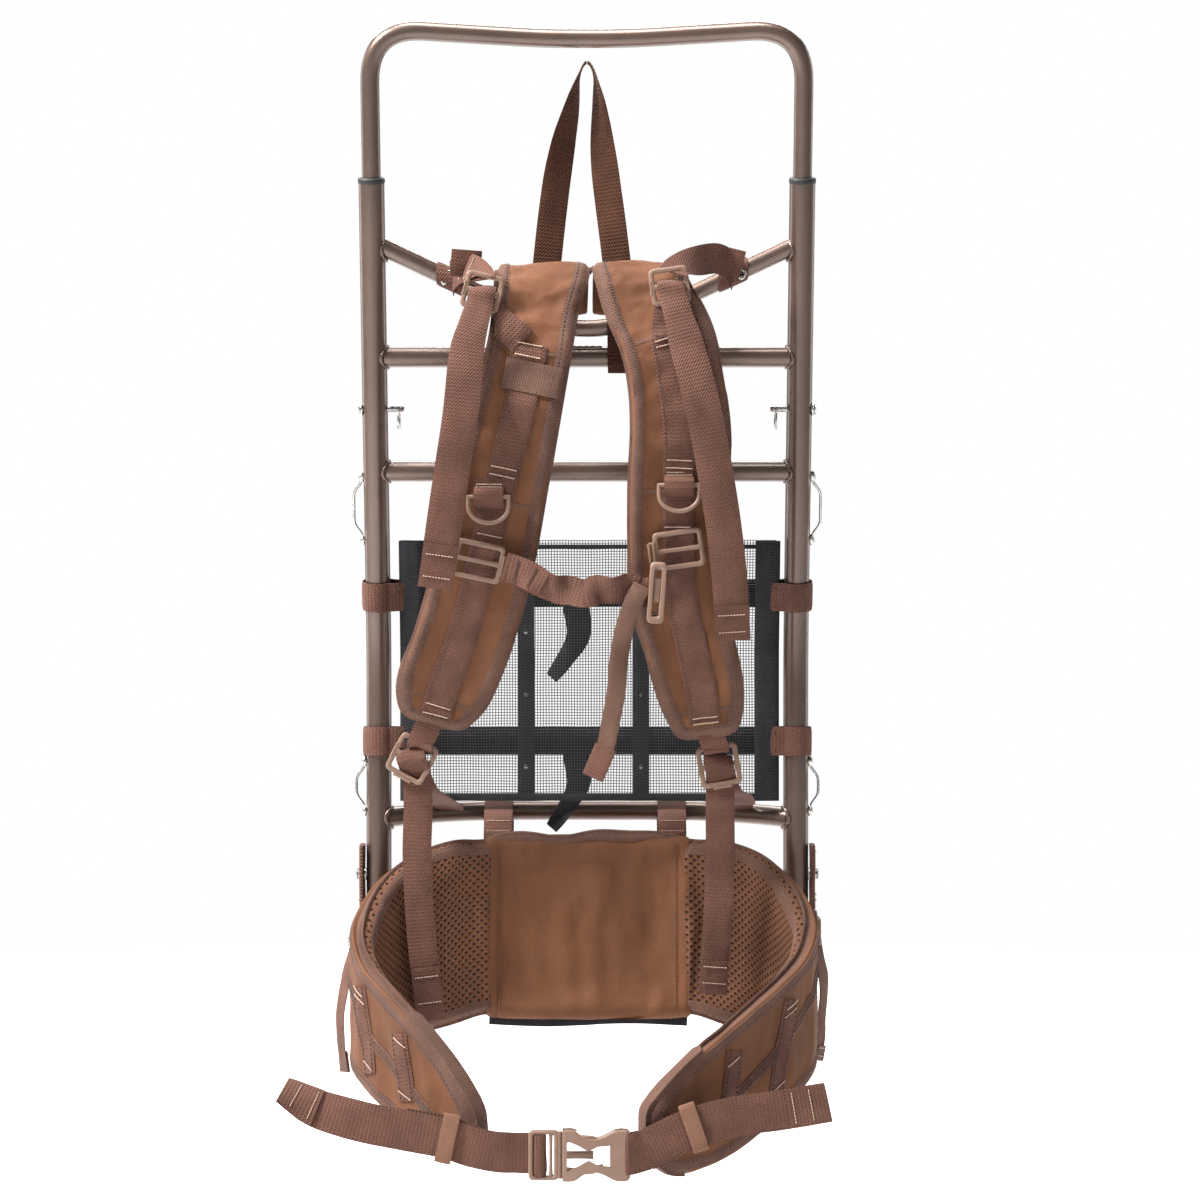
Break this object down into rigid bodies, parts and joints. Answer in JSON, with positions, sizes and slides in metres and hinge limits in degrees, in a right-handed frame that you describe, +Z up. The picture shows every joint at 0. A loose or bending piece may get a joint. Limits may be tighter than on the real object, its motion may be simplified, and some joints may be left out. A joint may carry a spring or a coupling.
{
  "type": "external pack frame",
  "caption": "External pack frame: bent tube ladder frame with a telescoping top bar, mesh back panel, shoulder harness and padded hip belt, hung by its haul loop.",
  "frame": {"origin": "the top of the haul loop, which the pack hangs from, in the middle of the frame", "axes": "+Z up along the lower uprights, -Y towards the wearer, +X to the right of someone facing the harness"},
  "size_m": [0.4691, 0.2973, 0.9667],
  "materials": {
    "coated_tube": "bronze brown metallic powder coat, satin",
    "steel": "bright wire and pins",
    "hardware": "tan moulded nylon",
    "black_plastic": "black moulded plastic",
    "stay_metal": "black painted flat bar",
    "back_mesh": "black vinyl coated open mesh",
    "webbing": "taupe brown woven webbing",
    "cloth": "coyote brown woven pack cloth",
    "spacer": "brown three dimensional spacer mesh"
  },
  "bodies": {
    "frame": {"upright_left": "coated_tube", "upright_right": "coated_tube", "foot_cap_left": "black_plastic", "foot_cap_right": "black_plastic", "collar_left": "black_plastic", "collar_right": "black_plastic", "yoke_bar": "coated_tube", "crossbar_upper": "coated_tube", "crossbar_middle": "coated_tube", "crossbar_lower": "coated_tube", "crossbar_bottom": "coated_tube", "lash_loop_upper_left": "steel", "lash_loop_upper_right": "steel", "lash_loop_lower_left": "steel", "lash_loop_lower_right": "steel", "clevis_pin_upper_left": "steel", "clevis_pin_upper_right": "steel", "clevis_pin_lower_left": "steel", "clevis_pin_lower_right": "steel", "mesh_panel": "back_mesh", "stay_left": "stay_metal", "stay_right": "stay_metal", "panel_strap_upper": "webbing", "panel_strap_lower": "webbing", "haul_loop": "webbing", "shoulder_pad_left": "cloth", "shoulder_pad_right": "cloth", "lifter_strap_left": "webbing", "lifter_strap_right": "webbing", "lower_strap_left": "webbing", "lower_strap_right": "webbing", "belt_wing_left": "spacer", "belt_wing_right": "spacer", "belt_hanger_left": "webbing", "belt_hanger_right": "webbing", "stabiliser_left": "webbing", "stabiliser_right": "webbing", "belt_webbing_left": "webbing", "belt_webbing_right": "webbing", "belt_keeper_left": "hardware", "belt_keeper_right": "hardware", "lumbar_pad": "cloth", "buckle_female": "hardware"},
    "extension": {"extension_bar": "coated_tube"},
    "ring_left": {"split_ring_left": "steel"},
    "ring_right": {"split_ring_right": "steel"},
    "d_ring_left": {"d_ring_left": "hardware"},
    "d_ring_right": {"d_ring_right": "hardware"},
    "slider_left": {"sternum_slider_left": "hardware", "sternum_strap": "webbing"},
    "slider_right": {"sternum_slider_right": "hardware", "sternum_buckle": "hardware"},
    "pad_lock_left": {"pad_buckle_left": "hardware"},
    "pad_lock_right": {"pad_buckle_right": "hardware"},
    "lifter_lock_left": {"lifter_buckle_left": "hardware"},
    "lifter_lock_right": {"lifter_buckle_right": "hardware"},
    "buckle_tongue": {"buckle_male": "hardware"},
    "upper_prong": {"prong_upper": "hardware"},
    "lower_prong": {"prong_lower": "hardware"}
  },
  "joints": [
    {"name": "extension_slide", "type": "slide", "parent": "frame", "child": "extension", "axis": [0, -0.2419, 0.9703], "range_m": [0, 0.12]},
    {"name": "ring_swing_left", "type": "hinge", "parent": "frame", "child": "ring_left", "pos_m": [-0.1644, 0.0375, -0.29745], "axis": [0, 0.9703, 0.2419], "range_deg": [-60, 20]},
    {"name": "ring_swing_right", "type": "hinge", "parent": "frame", "child": "ring_right", "pos_m": [0.1644, 0.0375, -0.29745], "axis": [0, 0.9703, 0.2419], "range_deg": [-20, 60]},
    {"name": "d_ring_swing_left", "type": "hinge", "parent": "frame", "child": "d_ring_left", "pos_m": [-0.083, -0.056, -0.377], "axis": [-1, 0, 0], "range_deg": [0, 40]},
    {"name": "d_ring_swing_right", "type": "hinge", "parent": "frame", "child": "d_ring_right", "pos_m": [0.078, -0.059, -0.367], "axis": [-1, 0, 0], "range_deg": [0, 40]},
    {"name": "sternum_slide_left", "type": "slide", "parent": "frame", "child": "slider_left", "axis": [0.2156, -0.2053, 0.9547], "range_m": [-0.025, 0.005]},
    {"name": "sternum_slide_right", "type": "slide", "parent": "slider_left", "child": "slider_right", "axis": [-0.9941, -0.0231, 0.106], "range_m": [-0.006, 0.002]},
    {"name": "pad_lock_tilt_left", "type": "hinge", "parent": "frame", "child": "pad_lock_left", "pos_m": [-0.14349, 0.006, -0.58687], "axis": [-0.8829, 0, 0.4695], "range_deg": [0, 35]},
    {"name": "pad_lock_tilt_right", "type": "hinge", "parent": "frame", "child": "pad_lock_right", "pos_m": [0.11122, 0.008, -0.59124], "axis": [-0.9848, 0, -0.1736], "range_deg": [0, 35]},
    {"name": "lifter_lock_tilt_left", "type": "hinge", "parent": "frame", "child": "lifter_lock_left", "pos_m": [-0.09139, -0.059, -0.21758], "axis": [-0.9703, 0, 0.2419], "range_deg": [0, 12]},
    {"name": "lifter_lock_tilt_right", "type": "hinge", "parent": "frame", "child": "lifter_lock_right", "pos_m": [0.07195, -0.0585, -0.21286], "axis": [-0.9903, 0, -0.1392], "range_deg": [0, 12]},
    {"name": "buckle_release", "type": "slide", "parent": "frame", "child": "buckle_tongue", "axis": [-1, 0, 0], "range_m": [0, 0.03]},
    {"name": "prong_squeeze", "type": "hinge", "parent": "buckle_tongue", "child": "upper_prong", "pos_m": [-0.0206, -0.146, -0.906], "axis": [0, 1, 0], "range_deg": [0, 6], "stiffness_Nm_per_rad": 0.03},
    {"name": "prong_squeeze_lower", "type": "hinge", "parent": "buckle_tongue", "child": "lower_prong", "pos_m": [-0.0206, -0.146, -0.93], "axis": [0, -1, 0], "range_deg": [0, 6], "stiffness_Nm_per_rad": 0.03}
  ],
  "couplings": [
    {"joint": "sternum_slide_right", "follows": "sternum_slide_left", "ratio": 0.2169},
    {"joint": "prong_squeeze_lower", "follows": "prong_squeeze", "ratio": 1}
  ]
}
